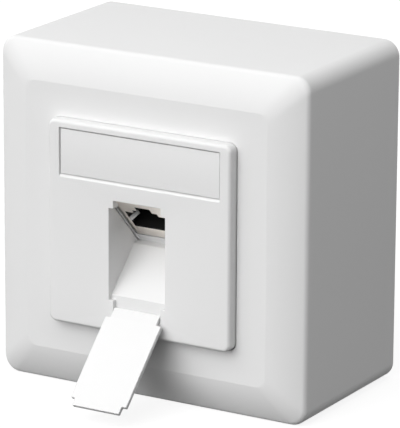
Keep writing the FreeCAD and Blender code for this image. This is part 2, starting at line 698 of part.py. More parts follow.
def module_holder():
    """Bracket with two cheeks and a lower bar round the jack, and ears behind the carrier."""
    cheeks = []
    for side in (1, -1):
        cheeks.append(in_port(box((side * HOLDER_INNER, side * HOLDER_HALF), (-HOLDER_LIP, HOLDER_DEPTH),
                                  (HOLDER_TOP, HOLDER_BOTTOM + HOLDER_LIP))))
    bar = in_port(box((-HOLDER_HALF, HOLDER_HALF), (0, HOLDER_BAR_DEPTH),
                      (HOLDER_BAR_TOP, HOLDER_BOTTOM)))
    top = in_port(box((-HOLDER_HALF, HOLDER_HALF), (HOLDER_DEPTH - HOLDER_BAR_DEPTH, HOLDER_DEPTH),
                      (JACK_TOP + HOLDER_SEAT_GAP, JACK_TOP + HOLDER_SEAT_GAP + HOLDER_WALL)))
    stays = []
    for side in (1, -1):
        stays.append(in_port(box((side * HOLDER_INNER, side * HOLDER_HALF),
                                 (HOLDER_DEPTH - HOLDER_BAR_DEPTH, HOLDER_DEPTH),
                                 (HOLDER_TOP, JACK_TOP + HOLDER_SEAT_GAP + HOLDER_WALL))))
    ears = []
    for side in (1, -1):
        ears.append(box((PORT_X + side * HOLDER_INNER, side * EAR_REACH),
                        (CARRIER_BACK, CARRIER_BACK + EAR_THICK),
                        (EAR_Z - EAR_HEIGHT / 2, EAR_Z + EAR_HEIGHT / 2)))
    holder = fused(cheeks + [bar, top] + stays + ears)
    for side in (1, -1):
        x = side * EAR_SCREW_X
        holder = holder.cut(rod(SCREW_R, Vector(x, CARRIER_BACK, EAR_Z),
                                Vector(x, CARRIER_BACK + EAR_THICK, EAR_Z)))
    return holder


def plug_space(front, back):
    """Stepped space for a plug: the wide part, the step and the slot for the plug's latch."""
    parts = [box((-CAVITY_WIDTH / 2, CAVITY_WIDTH / 2), (front, back), (CAVITY_BOTTOM, CAVITY_TOP)),
             box((-STEP_WIDTH / 2, STEP_WIDTH / 2), (front, back), (CAVITY_BOTTOM, STEP_TOP)),
             box((-SLOT_WIDTH / 2, SLOT_WIDTH / 2), (front, back), (CAVITY_BOTTOM, SLOT_TOP))]
    return fused(parts)


def jack_housing():
    """Die-cast shell of the jack, open at the back."""
    shell = box((-JACK_HALF, JACK_HALF), (0, JACK_DEPTH), (JACK_BOTTOM, JACK_TOP))
    inside = box((-JACK_INNER_HALF, JACK_INNER_HALF), (JACK_FACE_THICK, JACK_DEPTH),
                 (JACK_INNER_BOTTOM, JACK_INNER_TOP))
    return in_port(shell.cut(inside).cut(plug_space(0, JACK_FACE_THICK)))


def contact_x(index):
    """Place across the jack of one spring contact."""
    return (index - (CONTACT_COUNT - 1) / 2) * CONTACT_PITCH


def contact_insert():
    """Plastic insert with the plug's space and a comb for the spring contacts."""
    block = box((-INSERT_HALF, INSERT_HALF), (INSERT_FRONT, INSERT_BACK), (INSERT_BOTTOM, INSERT_TOP))
    cavity_end = INSERT_FRONT + CAVITY_DEPTH
    block = block.cut(plug_space(INSERT_FRONT, cavity_end))
    slots = []
    floor = CONTACT_TRACK - CONTACT_SLOT / 2
    start = CONTACT_NOSE - CONTACT_TURN_R - CONTACT_SLOT
    for index in range(CONTACT_COUNT):
        x = contact_x(index)
        slots.append(box((x - CONTACT_SLOT / 2, x + CONTACT_SLOT / 2), (start, INSERT_BACK),
                         (floor, CAVITY_BOTTOM)))
    pocket_reach = CAVITY_WIDTH / 2 + SPRING_THICK + INNER_GAP
    pocket = box((-pocket_reach, pocket_reach), (INSERT_FRONT, INSERT_FRONT + SPRING_DEPTH),
                 (SPRING_Z - SPRING_WIDTH, SPRING_Z + SPRING_WIDTH))
    return in_port(block.cut(fused(slots)).cut(pocket))


def contact_wire(x):
    """Square gold wire: a track under the floor, a turn and a springy rise into the plug's space."""
    rise = math.radians(CONTACT_RISE)
    track_end = Vector(x, CONTACT_NOSE, CONTACT_TRACK)
    centre = track_end + Vector(0, 0, CONTACT_TURN_R)
    nose = centre - Vector(0, CONTACT_TURN_R, 0)
    turn_end = centre + Vector(0, -math.sin(rise), math.cos(rise)) * CONTACT_TURN_R
    tip = turn_end + Vector(0, math.cos(rise), math.sin(rise)) * CONTACT_LENGTH
    start = Vector(x, INSERT_BACK, CONTACT_TRACK)
    path = Part.Wire([Part.LineSegment(start, track_end).toShape(),
                      Part.Arc(track_end, nose, turn_end).toShape(),
                      Part.LineSegment(turn_end, tip).toShape()])
    half = CONTACT_THICK / 2
    corners = [start + Vector(sign_x * half, 0, sign_z * half)
               for sign_x, sign_z in ((1, 1), (-1, 1), (-1, -1), (1, -1))]
    return path.makePipeShell([Part.makePolygon(corners + corners[:1])], True, False)


def contact_wires():
    """The eight spring contacts."""
    return in_port(Part.makeCompound([contact_wire(contact_x(index)) for index in range(CONTACT_COUNT)]))


def shield_spring(side):
    """Sprung finger of the shield, leaning from the mouth's side wall into the plug's space."""
    lean = math.radians(SPRING_LEAN)
    wall = CAVITY_WIDTH / 2
    root = Vector(side * wall, INSERT_FRONT, 0)
    along = Vector(-side * math.sin(lean), math.cos(lean), 0)
    across = Vector(side * math.cos(lean), math.sin(lean), 0)
    tip = root + along * (SPRING_DEPTH / math.cos(lean))
    corners = [root, root + across * SPRING_THICK, tip + across * SPRING_THICK, tip]
    low = SPRING_Z - SPRING_WIDTH / 2
    corners = [corner + Vector(0, 0, low) for corner in corners]
    face = Part.Face(Part.makePolygon(corners + corners[:1]))
    return in_port(face.extrude(Vector(0, 0, SPRING_WIDTH)))


def circuit_board():
    """Board that joins the spring contacts to the terminals."""
    return in_port(box((-INSERT_HALF, INSERT_HALF), (INSERT_BACK, BOARD_BACK), (INSERT_BOTTOM, INSERT_TOP)))


def terminal_x(index):
    """Place across the jack of one wire terminal."""
    return (index - (TERMINALS_PER_BLOCK - 1) / 2) * TERMINAL_PITCH


def terminal_rows():
    """Z range of the lower and the upper terminal block."""
    return ((INSERT_BOTTOM, INSERT_BOTTOM + TERMINAL_HEIGHT), (INSERT_TOP - TERMINAL_HEIGHT, INSERT_TOP))


def terminal_block(z_range):
    """Block of four slots that take the cable's wires from behind."""
    block = box((-INSERT_HALF, INSERT_HALF), (BOARD_BACK, TERMINAL_BACK), z_range)
    slots = []
    for index in range(TERMINALS_PER_BLOCK):
        x = terminal_x(index)
        slots.append(box((x - TERMINAL_SLOT / 2, x + TERMINAL_SLOT / 2), (BOARD_BACK, TERMINAL_BACK),
                         (min(z_range) + TERMINAL_FLOOR, max(z_range) - TERMINAL_FLOOR)))
    return in_port(block.cut(fused(slots)))


def idc_contacts():
    """Forked cutting contacts, one in each terminal slot."""
    forks = []
    for z_range in terminal_rows():
        middle = sum(z_range) / 2
        for index in range(TERMINALS_PER_BLOCK):
            x = terminal_x(index)
            blade = box((x - IDC_THICK / 2, x + IDC_THICK / 2), (BOARD_BACK, BOARD_BACK + IDC_REACH),
                        (middle - IDC_HEIGHT / 2, middle + IDC_HEIGHT / 2))
            gap = box((x - IDC_THICK, x + IDC_THICK), (BOARD_BACK + IDC_REACH / 3, BOARD_BACK + IDC_REACH),
                      (middle - IDC_FORK / 2, middle + IDC_FORK / 2))
            forks.append(blade.cut(gap))
    return in_port(Part.makeCompound(forks))


def clamp_half(upper):
    """Half tube round the cable with two ears, on one side of the split."""
    radius = CABLE_R + CLAMP_WALL
    start = Vector(0, CAP_BACK, CABLE_Z)
    end = Vector(0, CAP_BACK + CLAMP_LENGTH, CABLE_Z)
    sign = 1 if upper else -1
    tube = rod(radius, start, end)
    ears = box((-radius - CLAMP_EAR, radius + CLAMP_EAR), (start.y, end.y),
               (CABLE_Z, CABLE_Z + sign * (CLAMP_SPLIT / 2 + CLAMP_EAR_THICK)))
    away = box((-2 * radius - CLAMP_EAR, 2 * radius + CLAMP_EAR), (start.y, end.y),
               (CABLE_Z + sign * CLAMP_SPLIT / 2, CABLE_Z - sign * 2 * radius))
    return fused([tube, ears]).cut(away).cut(rod(CABLE_R, start, end))


def clamp_screw_axes():
    """Centre of each clamp screw at the split."""
    x = CABLE_R + CLAMP_WALL + CLAMP_EAR / 2
    y = CAP_BACK + CLAMP_LENGTH / 2
    return [Vector(side * x, y, CABLE_Z) for side in (1, -1)]


def clamp_holes(radius):
    """Holes for the clamp screws through both ears."""
    reach = Vector(0, 0, CLAMP_SPLIT / 2 + CLAMP_EAR_THICK)
    return fused([rod(radius, axis - reach, axis + reach) for axis in clamp_screw_axes()])


def rear_cap():
    """Metal cap behind the terminals with the lower half of the cable clamp."""
    cap = box((-JACK_HALF, JACK_HALF), (CAP_FRONT, CAP_BACK), (JACK_BOTTOM, JACK_TOP))
    inside = box((-JACK_INNER_HALF, JACK_INNER_HALF), (CAP_FRONT, CAP_BACK - JACK_WALL),
                 (JACK_INNER_BOTTOM, JACK_INNER_TOP))
    cap = fused([cap.cut(inside), clamp_half(False)])
    bore = rod(CABLE_R, Vector(0, CAP_BACK - JACK_WALL, CABLE_Z), Vector(0, CAP_BACK + CLAMP_LENGTH, CABLE_Z))
    return in_port(cap.cut(bore).cut(clamp_holes(CLAMP_SCREW_R)))


def cable_clamp():
    """Upper half of the cable clamp."""
    return in_port(clamp_half(True).cut(clamp_holes(CLAMP_SCREW_R + INNER_GAP)))


def clamp_screws():
    """Two screws that pull the clamp's halves together."""
    screws = []
    reach = CLAMP_SPLIT / 2 + CLAMP_EAR_THICK
    for axis in clamp_screw_axes():
        seat = axis + Vector(0, 0, reach)
        head = rod(CLAMP_HEAD_R, seat, seat + Vector(0, 0, CLAMP_HEAD_HEIGHT))
        shank = rod(CLAMP_SCREW_R, axis - Vector(0, 0, reach), seat)
        screws.append(head.fuse(shank).removeSplitter())
    return in_port(Part.makeCompound(screws))


def build():
    """Name of each sub-part and its shape."""
    lower_row, upper_row = terminal_rows()
    return {
        "surface_housing": surface_housing(),
        "base_plate": base_plate(),
        "carrier_frame": carrier_frame(),
        "carrier_screws": carrier_screws(),
        "centre_plate": centre_plate(),
        "plate_screws": plate_screws(),
        "label_strip": label_strip(),
        "label_cover": label_cover(),
        "dust_flap": dust_flap(),
        "module_holder": module_holder(),
        "holder_screws": holder_screws(),
        "jack_housing": jack_housing(),
        "contact_insert": contact_insert(),
        "contact_wires": contact_wires(),
        "shield_spring_left": shield_spring(-1),
        "shield_spring_right": shield_spring(1),
        "circuit_board": circuit_board(),
        "terminal_block_lower": terminal_block(lower_row),
        "terminal_block_upper": terminal_block(upper_row),
        "idc_contacts": idc_contacts(),
        "rear_cap": rear_cap(),
        "cable_clamp": cable_clamp(),
        "clamp_screws": clamp_screws(),
    }


os.makedirs("parts", exist_ok=True)
for name, shape in build().items():
    print(f"{name}: {len(shape.Solids)} solids, {shape.Volume:.1f} mm3, valid {shape.isValid()}")
    shape.exportStep(f"parts/{name}.step")
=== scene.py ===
"""Looks of a surface-mounted data outlet: a soft bevelled hood, a flush centre plate and an open dust flap.

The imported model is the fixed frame. The pieces that show are worked out here as smooth surfaces with rounded
edges, and every other node keeps its solid and gets its finish. Lengths are in metres. X runs to the right,
Z up and Y into the wall.
"""

import logging
import math
from dataclasses import dataclass
from enum import Enum
from typing import Any, Sequence

import bmesh
import bpy
import numpy as np
from mathutils import Matrix, Vector
from mathutils.geometry import delaunay_2d_cdt


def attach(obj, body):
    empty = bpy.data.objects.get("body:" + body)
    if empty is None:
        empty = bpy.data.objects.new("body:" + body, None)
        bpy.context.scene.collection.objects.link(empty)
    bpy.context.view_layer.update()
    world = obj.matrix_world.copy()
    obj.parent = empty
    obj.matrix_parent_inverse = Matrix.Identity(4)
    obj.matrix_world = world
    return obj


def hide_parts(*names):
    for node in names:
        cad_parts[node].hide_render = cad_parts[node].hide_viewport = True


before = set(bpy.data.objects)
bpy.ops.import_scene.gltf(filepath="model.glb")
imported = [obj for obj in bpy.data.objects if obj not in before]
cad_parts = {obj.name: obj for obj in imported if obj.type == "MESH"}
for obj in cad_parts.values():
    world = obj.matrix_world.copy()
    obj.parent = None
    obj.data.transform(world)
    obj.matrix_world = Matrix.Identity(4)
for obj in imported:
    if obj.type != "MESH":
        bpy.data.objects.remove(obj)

Material = bpy.types.Material
Lengths = tuple[float, ...]
Colour = tuple[float, float, float, float]

LOG = logging.getLogger("jack_box")
MM = 0.001
MERGE_WITHIN = 0.002 * MM  # vertices nearer than this become one
SLIVER = 0.001 * MM  # edges shorter than this collapse
LEAST_RADIUS = 0.02 * MM  # least radius of a corner whose outline is moved
TILE_WITHIN = 1e-6  # distance in millimetres below which the tiling takes points as one
BEVEL_SAMPLES = 8


class Side(Enum):
    """A side of the outlet, by the sign of its X."""

    LEFT = -1
    RIGHT = 1

    def span(self, first: float, second: float) -> Lengths:
        """The two X at these distances from the middle on this side."""
        return self.value * first, self.value * second


# --- Outlines and skins


def mm(*lengths: float) -> Lengths:
    """Lengths in millimetres as metres."""
    return tuple(length * MM for length in lengths)


def rounding(radius: float, steps: int = 6) -> np.ndarray:
    """Rows of (inset, depth) from a face round to its side: radius * (1 - sin a, 1 - cos a)."""
    angle = np.linspace(0.0, np.pi / 2, steps + 1)
    return radius * np.column_stack([1 - np.sin(angle), 1 - np.cos(angle)])


def rounded_rectangle(half_x: float, half_z: float, radius: float, middle: Lengths = (0.0, 0.0),
                      steps: int = 12) -> np.ndarray:
    """Rectangle with rounded corners, counter-clockwise as seen from the front.

    Each corner is a quarter circle: centre + radius * (cos a, sin a), for a over 90 degrees.

    Args:
        half_x: Half of the width.
        half_z: Half of the height.
        radius: Corner radius.
        middle: X and Z of the middle.
        steps: Chords in a quarter circle.

    Returns:
        Points (x, z), steps + 1 for each corner.
    """
    angle = np.pi / 2 * (np.arange(4)[:, None] + np.linspace(0.0, 1.0, steps + 1))
    centre_x = middle[0] + (half_x - radius) * np.array([1.0, -1.0, -1.0, 1.0])[:, None]
    centre_z = middle[1] + (half_z - radius) * np.array([1.0, 1.0, -1.0, -1.0])[:, None]
    return np.stack([centre_x + radius * np.cos(angle), centre_z + radius * np.sin(angle)], 2).reshape(-1, 2)


@dataclass(frozen=True)
class SteppedOutline:
    """Closed outline with steps on both sides and rounded corners, counter-clockwise from the front."""

    halves: Lengths  # half width of each step, the lowest first
    heights: Lengths  # bottom of the lowest step and the top of each
    radius: float  # radius of every corner
    middle: float | np.ndarray  # X of the middle, one for all steps or one for each
    steps: int = 6  # chords in each rounded corner

    def points(self, grow: float = 0.0) -> np.ndarray:
        """Points of the outline moved outwards.

        A corner moves by grow * (n1 + n2) / (1 + n1.n2), where n1 and n2 are the outward normals of its
        edges. Its arc keeps its centre, so outer corners gain the distance and inner ones lose it. In the
        sums a point is the complex number x + iz, and a product with one of size 1 turns it.

        Args:
            grow: Distance outwards, or inwards if negative.

        Returns:
            Points (x, z), steps + 1 for each corner.
        """
        middle, half = np.repeat(np.broadcast_arrays(self.middle, self.halves), 2, axis=1)
        height = 1j * np.repeat(self.heights, 2)[1:-1]
        corner = np.concatenate([middle + half + height, (middle - half + height)[::-1]])
        along = corner - np.roll(corner, 1)
        along /= np.abs(along)
        normal, next_normal = -1j * along, -1j * np.roll(along, -1)
        moved = corner + grow * (normal + next_normal) / (1.0 + (normal * next_normal.conj()).real)
        turn = np.angle(next_normal / normal)
        sign = np.sign(turn)
        radius = np.maximum(self.radius + grow * sign, LEAST_RADIUS)
        centre = moved - radius * (along * np.tan(np.abs(turn) / 2) + normal * sign)
        swept = np.exp(1j * turn[:, None] * np.linspace(0.0, 1.0, self.steps + 1))
        loop = (centre[:, None] + (radius * sign * normal)[:, None] * swept).ravel()
        return np.column_stack([loop.real, loop.imag])


def inside(points: np.ndarray, loops: Sequence[np.ndarray]) -> np.ndarray:
    """Whether points lie inside an odd number of closed loops.

    A point is inside when a ray to +X crosses the edges an odd number of times.

    Args:
        points: Points in a plane.
        loops: Closed loops of points in that plane.

    Returns:
        One truth value for each point.
    """
    across, up = points.T[:, :, None]
    crossings = np.zeros(len(points), int)
    for loop in loops:
        (x_start, z_start), (x_end, z_end) = loop.T, np.roll(loop, -1, axis=0).T
        spans = (z_start > up) != (z_end > up)
        rise = np.where(z_start == z_end, 1.0, z_end - z_start)
        reach = x_start + (up - z_start) / rise * (x_end - x_start)
        crossings += np.sum(spans & (reach > across), axis=1)
    return crossings % 2 == 1


def tiled(loops: Sequence[np.ndarray]) -> tuple[np.ndarray, np.ndarray]:
    """Fills the area between an outer loop and its holes with triangles.

    Args:
        loops: The outer loop and the loops of the holes, as points in a plane.

    Returns:
        The points and the triangles' corner numbers.
    """
    edges, start = [], 0
    for loop in loops:
        index = np.arange(start, start + len(loop))
        edges.extend(zip(index.tolist(), np.roll(index, -1).tolist()))
        start += len(loop)
    flat = np.concatenate(loops) / MM
    vertices = [Vector(p) for p in flat.tolist()]
    vertices, _, triangles = delaunay_2d_cdt(vertices, edges, [], 0, TILE_WITHIN, False)[:3]
    points = np.array([tuple(p) for p in vertices]) * MM
    faces = np.array(triangles, int)
    return points, faces[inside(points[faces].mean(axis=1), loops)]


def placed(name: str, data: bpy.types.ID) -> bpy.types.Object:
    """Links a new object with this data to the scene.

    Args:
        name: Name of the object.
        data: Its mesh, light or camera.

    Returns:
        The object.
    """
    thing = bpy.data.objects.new(name, data)
    bpy.context.scene.collection.objects.link(thing)
    return thing


class Skin:
    """Collects surface patches and turns them into one piece."""

    def __init__(self) -> None:
        """Starts with no patches."""
        self.points = np.empty((0, 3))
        self.faces: list[list[int]] = []

    def add(self, points: np.ndarray, faces: np.ndarray) -> None:
        """Adds vertices and faces, which are numbered from the patch's own first vertex."""
        self.faces += (faces + len(self.points)).tolist()
        self.points = np.concatenate([self.points, points.reshape(-1, 3)])

    def band(self, sections: np.ndarray, ring: bool = False) -> None:
        """Adds quads between closed loops that follow one another.

        Args:
            sections: Array of loops, shaped (loops, points, 3).
            ring: Whether the last loop also joins the first.
        """
        loops, around = sections.shape[:2]
        row = np.arange(loops if ring else loops - 1)[:, None] * around
        column = np.arange(around)
        next_row, next_column = (row + around) % (loops * around), (column + 1) % around
        quads = [row + column, row + next_column, next_row + next_column, next_row + column]
        self.add(sections, np.stack(quads, 2).reshape(-1, 4))

    def wall(self, rows: Sequence[tuple[np.ndarray, float]], ring: bool = False) -> None:
        """Adds a band over loops of points (x, z), each in the plane at its own y."""
        self.band(np.stack([np.insert(flat, 1, y, axis=1) for flat, y in rows]), ring)

    def lid(self, loops: Sequence[np.ndarray], y: float) -> None:
        """Adds a flat face at y, between an outer loop (x, z) and its holes."""
        flat, faces = tiled(loops)
        self.add(np.insert(flat, 1, y, axis=1), faces)

    def prism(self, profile: Sequence[Lengths] | np.ndarray, ends: Lengths, middle: float = 0.0) -> None:
        """Adds a closed prism along X.

        Args:
            profile: Corners (y, z) of the section.
            ends: X of its two ends from the middle.
            middle: X of the middle.
        """
        section = np.array(profile, float)
        flat, faces = tiled([section])
        places = sorted(middle + x for x in ends)
        self.band(np.stack([np.insert(section, 0, x, axis=1) for x in places]))
        for x in places:
            self.add(np.insert(flat, 0, x, axis=1), faces)

    def barrel(self, radius: float, ends: Lengths, axis: Lengths, edge: float, middle: float,
               steps: int = 32) -> None:
        """Adds a round bar along X.

        A point is its axis + r * (cos a, sin a), where r follows a quarter circle at each end.

        Args:
            radius: Radius of the bar.
            ends: X of its two ends from the middle.
            axis: (y, z) of its axis.
            edge: Radius of the rounding at its ends.
            middle: X of the middle.
            steps: Chords round the bar.
        """
        low, high = sorted(middle + x for x in ends)
        inset, drop = rounding(edge).T
        x = np.concatenate([[low], low + inset[::-1], high - inset, [high]])[:, None]
        reach = np.concatenate([[0.0], radius - drop[::-1], radius - drop, [0.0]])[:, None]
        angle = np.linspace(0, 2 * np.pi, steps, endpoint=False)
        grid = np.broadcast_arrays(x, axis[0] + reach * np.cos(angle), axis[1] + reach * np.sin(angle))
        self.band(np.stack(grid, 2))

    def build(self, name: str, slot: str, material: Material, *nodes: str, body: str = "outlet",
              sharp: float = 9.0, place: Matrix = Matrix()) -> None:
        """Makes the piece: doubles merged, faces outwards, edges crisp past an angle, its place in its mesh.

        Args:
            name: Name of the piece.
            slot: The record's material slot; not used.
            material: Its finish.
            *nodes: CAD nodes that it stands for, which are hidden.
            body: CAD body that it moves with.
            sharp: Angle in degrees from which an edge is crisp.
            place: Turn and shift from the frame in which it is drawn.
        """
        mesh = bpy.data.meshes.new(name)
        mesh.from_pydata(self.points.tolist(), [], self.faces)
        work = bmesh.new()
        work.from_mesh(mesh)
        bmesh.ops.remove_doubles(work, verts=work.verts, dist=MERGE_WITHIN)
        bmesh.ops.dissolve_degenerate(work, edges=work.edges, dist=SLIVER)
        bmesh.ops.recalc_face_normals(work, faces=work.faces)
        work.to_mesh(mesh)
        work.free()
        mesh.shade_smooth()
        mesh.set_sharp_from_angle(angle=math.radians(sharp))
        mesh.transform(place)
        mesh.materials.append(material)
        piece = placed(name, mesh)
        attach(piece, body)
        if nodes:
            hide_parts(*nodes)
        LOG.info("%s: %d faces on %s", name, len(mesh.polygons), body)


# --- Finishes


class Wire:
    """A node's output socket, with arithmetic that adds Math nodes."""

    def __init__(self, sheet: "NodeSheet", socket: bpy.types.NodeSocket | None) -> None:
        """Wraps an output socket of a sheet."""
        self.sheet = sheet
        self.socket = socket

    def _math(self, operation: str, *values: Any) -> "Wire":
        """Math node of an operation on values or wires."""
        return self.sheet.node("ShaderNodeMath", {"operation": operation}, dict(enumerate(values)))

    def __add__(self, other: Any) -> "Wire":
        """Sum."""
        return self._math("ADD", self, other)

    __radd__ = __add__

    def __mul__(self, other: Any) -> "Wire":
        """Product."""
        return self._math("MULTIPLY", self, other)

    __rmul__ = __mul__

    def __sub__(self, other: Any) -> "Wire":
        """Difference."""
        return self._math("SUBTRACT", self, other)

    def __rsub__(self, other: Any) -> "Wire":
        """Difference from a value on the left."""
        return self._math("SUBTRACT", other, self)

    def clamp(self) -> "Wire":
        """Value held between 0 and 1."""
        return self.sheet.node("ShaderNodeClamp", {}, {"Value": self})


class NodeSheet:
    """The node tree of a new material or world."""

    def __init__(self, owner: bpy.types.ID) -> None:
        """Empties the owner's tree.

        Args:
            owner: The material or world.
        """
        owner.use_nodes = True
        self.owner = owner
        self.tree = owner.node_tree
        self.tree.nodes.clear()

    def node(self, kind: str, settings: dict[str, Any], inputs: dict[Any, Any], output: Any = 0) -> Wire:
        """Adds a node.

        Args:
            kind: Blender's type of the node.
            settings: Attributes, set before the sockets.
            inputs: Values or wires by the socket's name or number.
            output: Name or number of the output to return.

        Returns:
            The output as a wire.
        """
        made = self.tree.nodes.new(kind)
        for key, value in settings.items():
            setattr(made, key, value)
        for key, value in inputs.items():
            if isinstance(value, Wire):
                self.tree.links.new(value.socket, made.inputs[key])
            else:
                made.inputs[key].default_value = value
        return Wire(self, made.outputs[output] if made.outputs else None)

    def noise(self, scale: float, detail: float, stretch: Lengths | None = None) -> Wire:
        """Noise value on Object coordinates.

        Args:
            scale: Features for each metre.
            detail: Finer layers over the first.
            stretch: Factors on the coordinates, if any.

        Returns:
            The value, about 0.5 in the mean.
        """
        at = self.node("ShaderNodeTexCoord", {}, {}, "Object")
        if stretch:
            at = self.node("ShaderNodeMapping", {}, {"Vector": at, "Scale": stretch})
        return self.node("ShaderNodeTexNoise", {}, {"Vector": at, "Scale": scale, "Detail": detail})

    def mix(self, factor: Any, first: Any, second: Any) -> Wire:
        """Colour between two colours, which the Mix node takes at its sockets 6 and 7."""
        return self.node("ShaderNodeMix", {"data_type": "RGBA"}, {0: factor, 6: first, 7: second}, 2)

    def rounded_normal(self, finish: "MouldedPlastic | PlatedMetal", height: Wire) -> Wire:
        """Normal with a finish's softened edges and its bump.

        Args:
            finish: The finish, which has an edge, a bump and a grain.
            height: Value that the bump follows.

        Returns:
            The normal.
        """
        soft = self.node("ShaderNodeBevel", {"samples": BEVEL_SAMPLES}, {"Radius": finish.edge})
        inputs = {"Strength": finish.bump, "Distance": finish.grain, "Height": height, "Normal": soft}
        return self.node("ShaderNodeBump", {}, inputs)

    def seen(self) -> Wire:
        """1 where the camera, a mirror or glass looks, and 0 for other light.

        Returns:
            The value.
        """
        rays = ("Is Camera Ray", "Is Glossy Ray", "Is Transmission Ray")
        camera, glossy, through = (self.node("ShaderNodeLightPath", {}, {}, ray) for ray in rays)
        return (camera + glossy + through).clamp()

    def finish(self, kind: str, inputs: dict[Any, Any]) -> bpy.types.ID:
        """Joins a shader node to the output.

        Args:
            kind: Blender's type of the shader.
            inputs: Values or wires by the socket's name or number.

        Returns:
            The material or world.
        """
        out = "World" if isinstance(self.owner, bpy.types.World) else "Material"
        self.node("ShaderNodeOutput" + out, {}, {"Surface": self.node(kind, {}, inputs)})
        return self.owner


def grey(value: float, warmth: float = 0.0) -> Colour:
    """Linear colour of a grey, with warmth redder and less blue by that share."""
    return (value * (1 + warmth), value, value * (1 - warmth), 1.0)


@dataclass(frozen=True)
class MouldedPlastic:
    """Satin moulded plastic with a fine grain and faint clouds in its shade."""

    name: str
    shade: float  # linear grey
    roughness: float = 0.6  # mean roughness
    clouds: float = 45.0  # clouds for each metre
    cloud_share: float = 0.015  # change of the shade in them, either way
    cloud_gloss: float = 0.06  # change of the roughness over them
    flecks: float = 2600.0  # flecks of the grain for each metre
    fleck_gloss: float = 0.04  # change of the roughness over them
    grain: float = 0.003 * MM  # height of the grain
    bump: float = 0.35  # strength of the grain
    specular: float = 0.2  # level of the gloss
    edge: float = 0.1 * MM  # radius of the softened edges

    def material(self) -> Material:
        """Makes the material: the roughness follows the clouds and the flecks about its mean.

        Returns:
            The material.
        """
        sheet = NodeSheet(bpy.data.materials.new(self.name))
        cloud, fleck = sheet.noise(self.clouds, 3.0), sheet.noise(self.flecks, 2.0)
        dark, light = (grey(self.shade * (1 + share)) for share in (-self.cloud_share, self.cloud_share))
        gloss = self.cloud_gloss * (cloud - 0.5) + self.fleck_gloss * (fleck - 0.5)
        return sheet.finish("ShaderNodeBsdfPrincipled", {
            "Base Color": sheet.mix(cloud, dark, light), "Specular IOR Level": self.specular,
            "Roughness": self.roughness + gloss, "Normal": sheet.rounded_normal(self, fleck)})


@dataclass(frozen=True)
class PlatedMetal:
    """Plated metal, cast or pressed, with faint streaks along X."""

    name: str
    colour: Colour  # linear colour
    roughness: float = 0.4  # mean roughness
    streaks: float = 900.0  # streaks for each metre
    stretch: Lengths = (0.15, 1.0, 1.0)  # factors on the coordinates that draw the streaks out
    dark: float = 0.9  # share of the colour that is left in a streak
    streak_gloss: float = 0.12  # change of the roughness over them
    grain: float = 0.004 * MM  # depth of the streaks
    bump: float = 0.2  # strength of the streaks
    edge: float = 0.1 * MM  # radius of the softened edges

    def material(self) -> Material:
        """Makes the material: the roughness follows the streaks about its mean.

        Returns:
            The material.
        """
        sheet = NodeSheet(bpy.data.materials.new(self.name))
        streak = sheet.noise(self.streaks, 3.0, self.stretch)
        dark = tuple(self.dark * value for value in self.colour[:3]) + (1.0,)
        return sheet.finish("ShaderNodeBsdfPrincipled", {
            "Base Color": sheet.mix(streak, dark, self.colour), "Metallic": 1.0,
            "Roughness": self.roughness + self.streak_gloss * (streak - 0.5),
            "Normal": sheet.rounded_normal(self, streak)})


@dataclass(frozen=True)
class Paper:
    """Uncoated paper with fibres."""

    name: str
    shade: float  # linear grey
    warmth: float = 0.01  # share by which red is over the grey and blue under it
    roughness: float = 0.8
    fibres: float = 1800.0  # fibres for each metre
    dark: float = 0.95  # share of the colour that is left between them
    grain: float = 0.01 * MM  # height of the fibres
    bump: float = 0.3  # strength of the fibres

    def material(self) -> Material:
        """Makes the material.

        Returns:
            The material.
        """
        sheet = NodeSheet(bpy.data.materials.new(self.name))
        fibre = sheet.noise(self.fibres, 4.0)
        light, dark = (grey(self.shade * share, self.warmth) for share in (1.0, self.dark))
        inputs = {"Strength": self.bump, "Distance": self.grain, "Height": fibre}
        return sheet.finish("ShaderNodeBsdfPrincipled", {
            "Base Color": sheet.mix(fibre, dark, light), "Roughness": self.roughness,
            "Normal": sheet.node("ShaderNodeBump", {}, inputs)})


# --- The outlet's pieces


